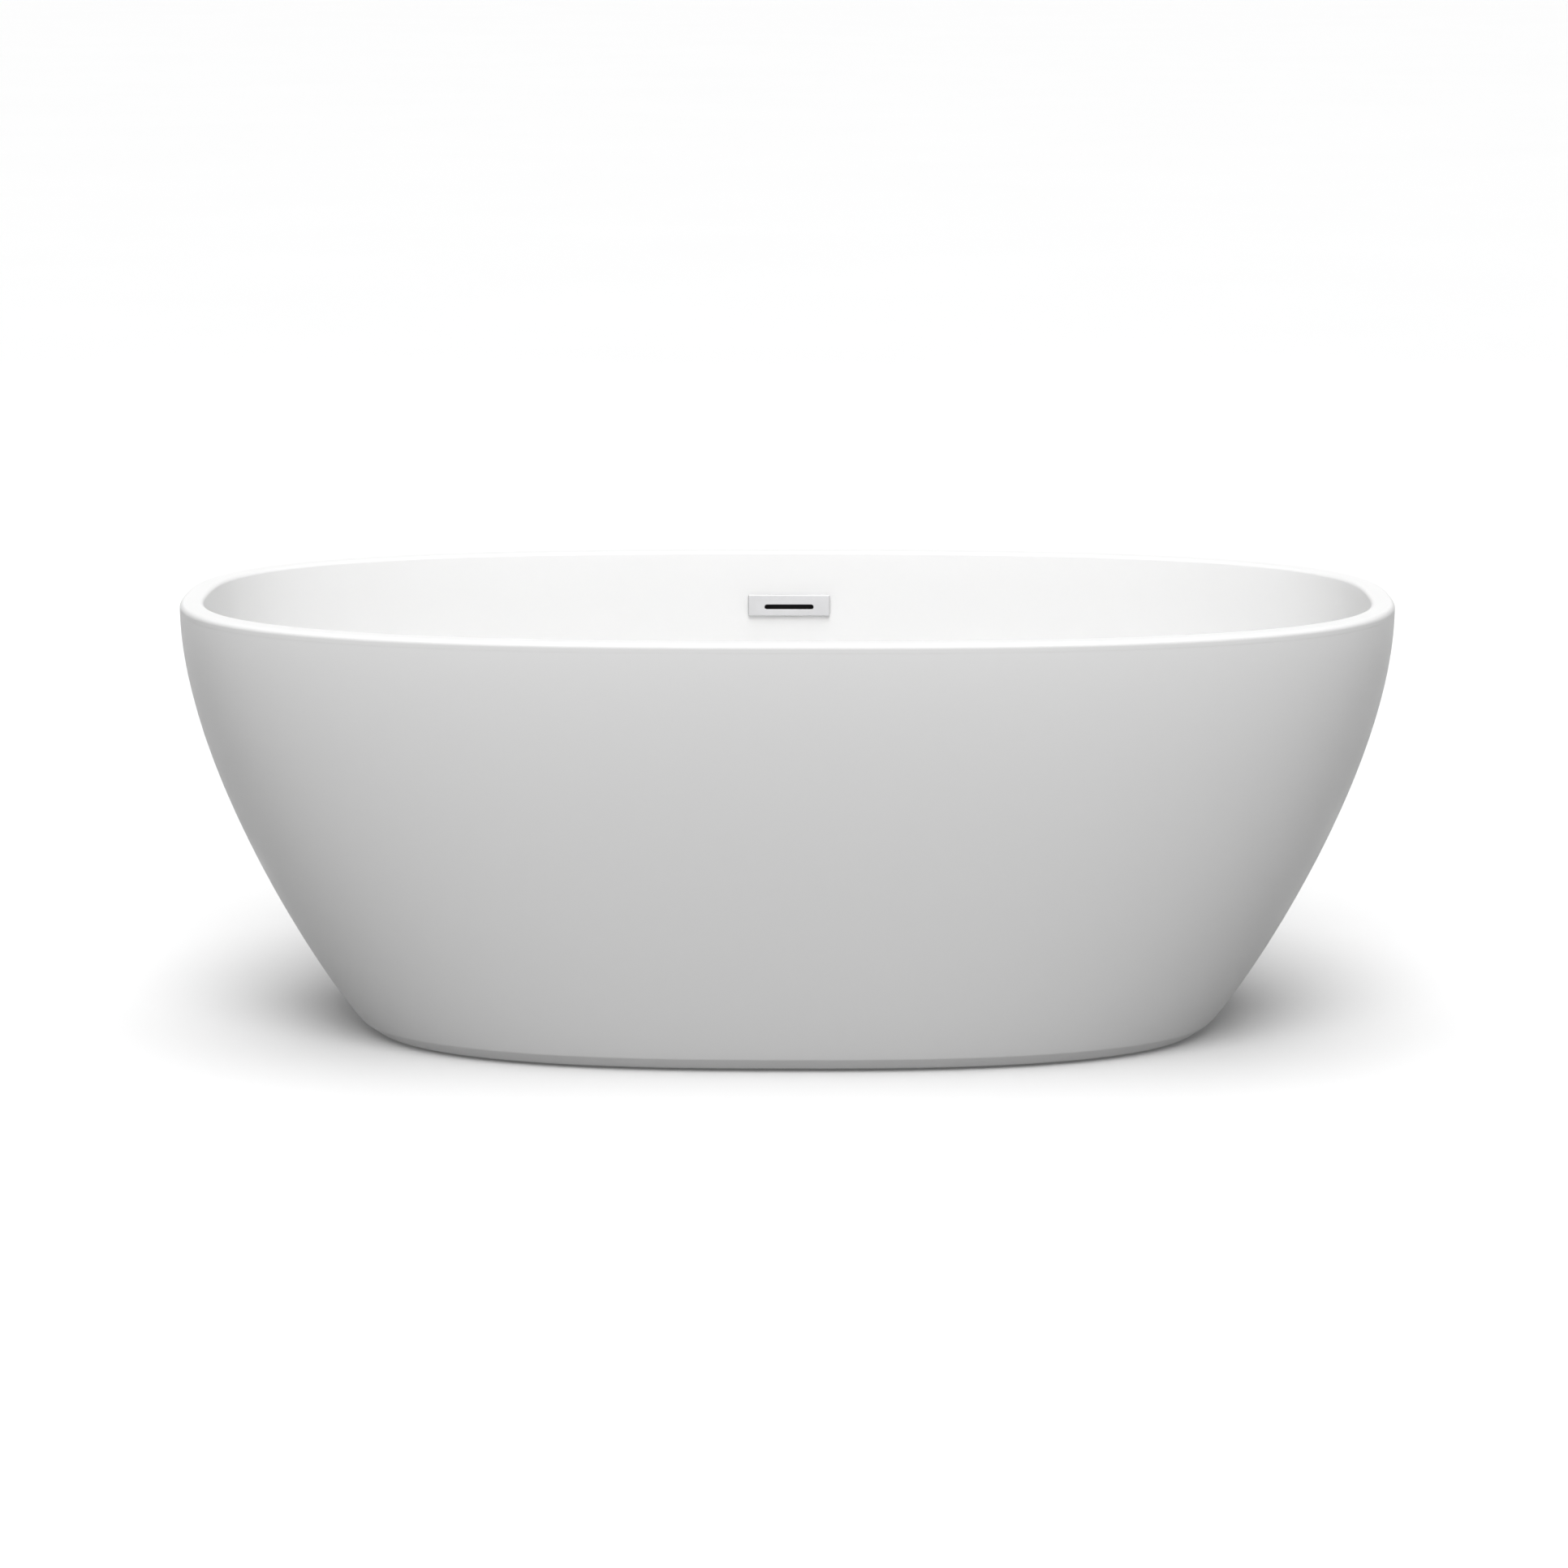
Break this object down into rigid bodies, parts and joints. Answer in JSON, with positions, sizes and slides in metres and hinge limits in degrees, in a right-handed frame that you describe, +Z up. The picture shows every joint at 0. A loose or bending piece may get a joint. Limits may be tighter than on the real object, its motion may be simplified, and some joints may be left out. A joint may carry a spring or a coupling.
{
  "type": "freestanding bathtub",
  "caption": "Oval double-ended freestanding bathtub with a flat rim, walls sloping in to a smaller foot, a slotted overflow, a pop-up waste and levelling feet.",
  "frame": {"origin": "on the floor of the room, under the middle of the tub, level with the undersides of the foot pads", "axes": "+X along the tub's length, +Y across it towards the wall with the overflow, +Z up"},
  "size_m": [1.65, 0.8, 0.6],
  "materials": {
    "acrylic": "gloss white acrylic over glass-fibre laminate",
    "bonding_paste": "cured bonding paste",
    "board": "plain sheet board",
    "frame_steel": "grey zinc-rich paint on square steel tube",
    "zinc_steel": "zinc plated",
    "foot_plastic": "moulded black",
    "black_plastic": "moulded black",
    "chrome": "polished chrome plate",
    "rubber_seal": "matt",
    "white_washer": "moulded white",
    "brass": "turned",
    "stainless": "stainless",
    "hose_plastic": "ribbed grey hose"
  },
  "bodies": {
    "tub": {"basin": "acrylic", "skirt": "acrylic", "rim_bond": "bonding_paste", "base_board": "board", "frame_rail_front": "frame_steel", "frame_rail_back": "frame_steel", "frame_end_left": "frame_steel", "frame_end_right": "frame_steel", "frame_cross_left": "frame_steel", "frame_cross_right": "frame_steel", "rail_caps": "black_plastic", "frame_nuts": "zinc_steel", "jam_nuts": "zinc_steel", "board_screws": "zinc_steel", "bracket_left": "zinc_steel", "bracket_right": "zinc_steel", "bracket_front_left": "zinc_steel", "bracket_front_right": "zinc_steel", "bracket_back_left": "zinc_steel", "bracket_back_right": "zinc_steel", "bracket_bolts": "zinc_steel", "bracket_screws": "zinc_steel", "bracket_nuts": "zinc_steel", "drain_flange": "chrome", "drain_top_seal": "rubber_seal", "drain_lower_seal": "rubber_seal", "drain_tee": "black_plastic", "tailpiece": "chrome", "tailpiece_nut": "chrome", "tailpiece_washer": "white_washer", "stopper_cartridge": "brass", "overflow_plate": "chrome", "overflow_plate_gasket": "rubber_seal", "overflow_wall_gasket": "rubber_seal", "overflow_housing": "black_plastic", "overflow_nuts": "brass", "overflow_hose": "hose_plastic", "hose_clamp_top": "stainless", "hose_clamp_bottom": "stainless"},
    "stopper": {"stopper_cap": "chrome", "stopper_seal": "rubber_seal", "stopper_stem": "stainless", "stopper_spring": "stainless"},
    "pad_front_left": {"foot_pad_front_left": "foot_plastic"},
    "stud_front_left": {"foot_stud_front_left": "zinc_steel"},
    "pad_front_right": {"foot_pad_front_right": "foot_plastic"},
    "stud_front_right": {"foot_stud_front_right": "zinc_steel"},
    "pad_back_left": {"foot_pad_back_left": "foot_plastic"},
    "stud_back_left": {"foot_stud_back_left": "zinc_steel"},
    "pad_back_right": {"foot_pad_back_right": "foot_plastic"},
    "stud_back_right": {"foot_stud_back_right": "zinc_steel"}
  },
  "joints": [
    {"name": "stopper_lift", "type": "slide", "parent": "tub", "child": "stopper", "axis": [0, 0, 1], "range_m": [0, 0.009], "deforming": ["stopper_spring"]},
    {"name": "foot_height_front_left", "type": "slide", "parent": "tub", "child": "pad_front_left", "axis": [0, 0, -1], "range_m": [-0.00525, 0.01225]},
    {"name": "stud_turn_front_left", "type": "hinge", "parent": "pad_front_left", "child": "stud_front_left", "pos_m": [-0.4, -0.165, 0], "axis": [0, 0, -1], "range_deg": [-1081, 2521]},
    {"name": "foot_height_front_right", "type": "slide", "parent": "tub", "child": "pad_front_right", "axis": [0, 0, -1], "range_m": [-0.00525, 0.01225]},
    {"name": "stud_turn_front_right", "type": "hinge", "parent": "pad_front_right", "child": "stud_front_right", "pos_m": [0.4, -0.165, 0], "axis": [0, 0, -1], "range_deg": [-1081, 2521]},
    {"name": "foot_height_back_left", "type": "slide", "parent": "tub", "child": "pad_back_left", "axis": [0, 0, -1], "range_m": [-0.00525, 0.01225]},
    {"name": "stud_turn_back_left", "type": "hinge", "parent": "pad_back_left", "child": "stud_back_left", "pos_m": [-0.4, 0.165, 0], "axis": [0, 0, -1], "range_deg": [-1081, 2521]},
    {"name": "foot_height_back_right", "type": "slide", "parent": "tub", "child": "pad_back_right", "axis": [0, 0, -1], "range_m": [-0.00525, 0.01225]},
    {"name": "stud_turn_back_right", "type": "hinge", "parent": "pad_back_right", "child": "stud_back_right", "pos_m": [0.4, 0.165, 0], "axis": [0, 0, -1], "range_deg": [-1081, 2521]}
  ],
  "couplings": [
    {"joint": "stud_turn_front_left", "follows": "foot_height_front_left", "rad_per_m": 3590.4},
    {"joint": "stud_turn_front_right", "follows": "foot_height_front_right", "rad_per_m": 3590.4},
    {"joint": "stud_turn_back_left", "follows": "foot_height_back_left", "rad_per_m": 3590.4},
    {"joint": "stud_turn_back_right", "follows": "foot_height_back_right", "rad_per_m": 3590.4}
  ]
}
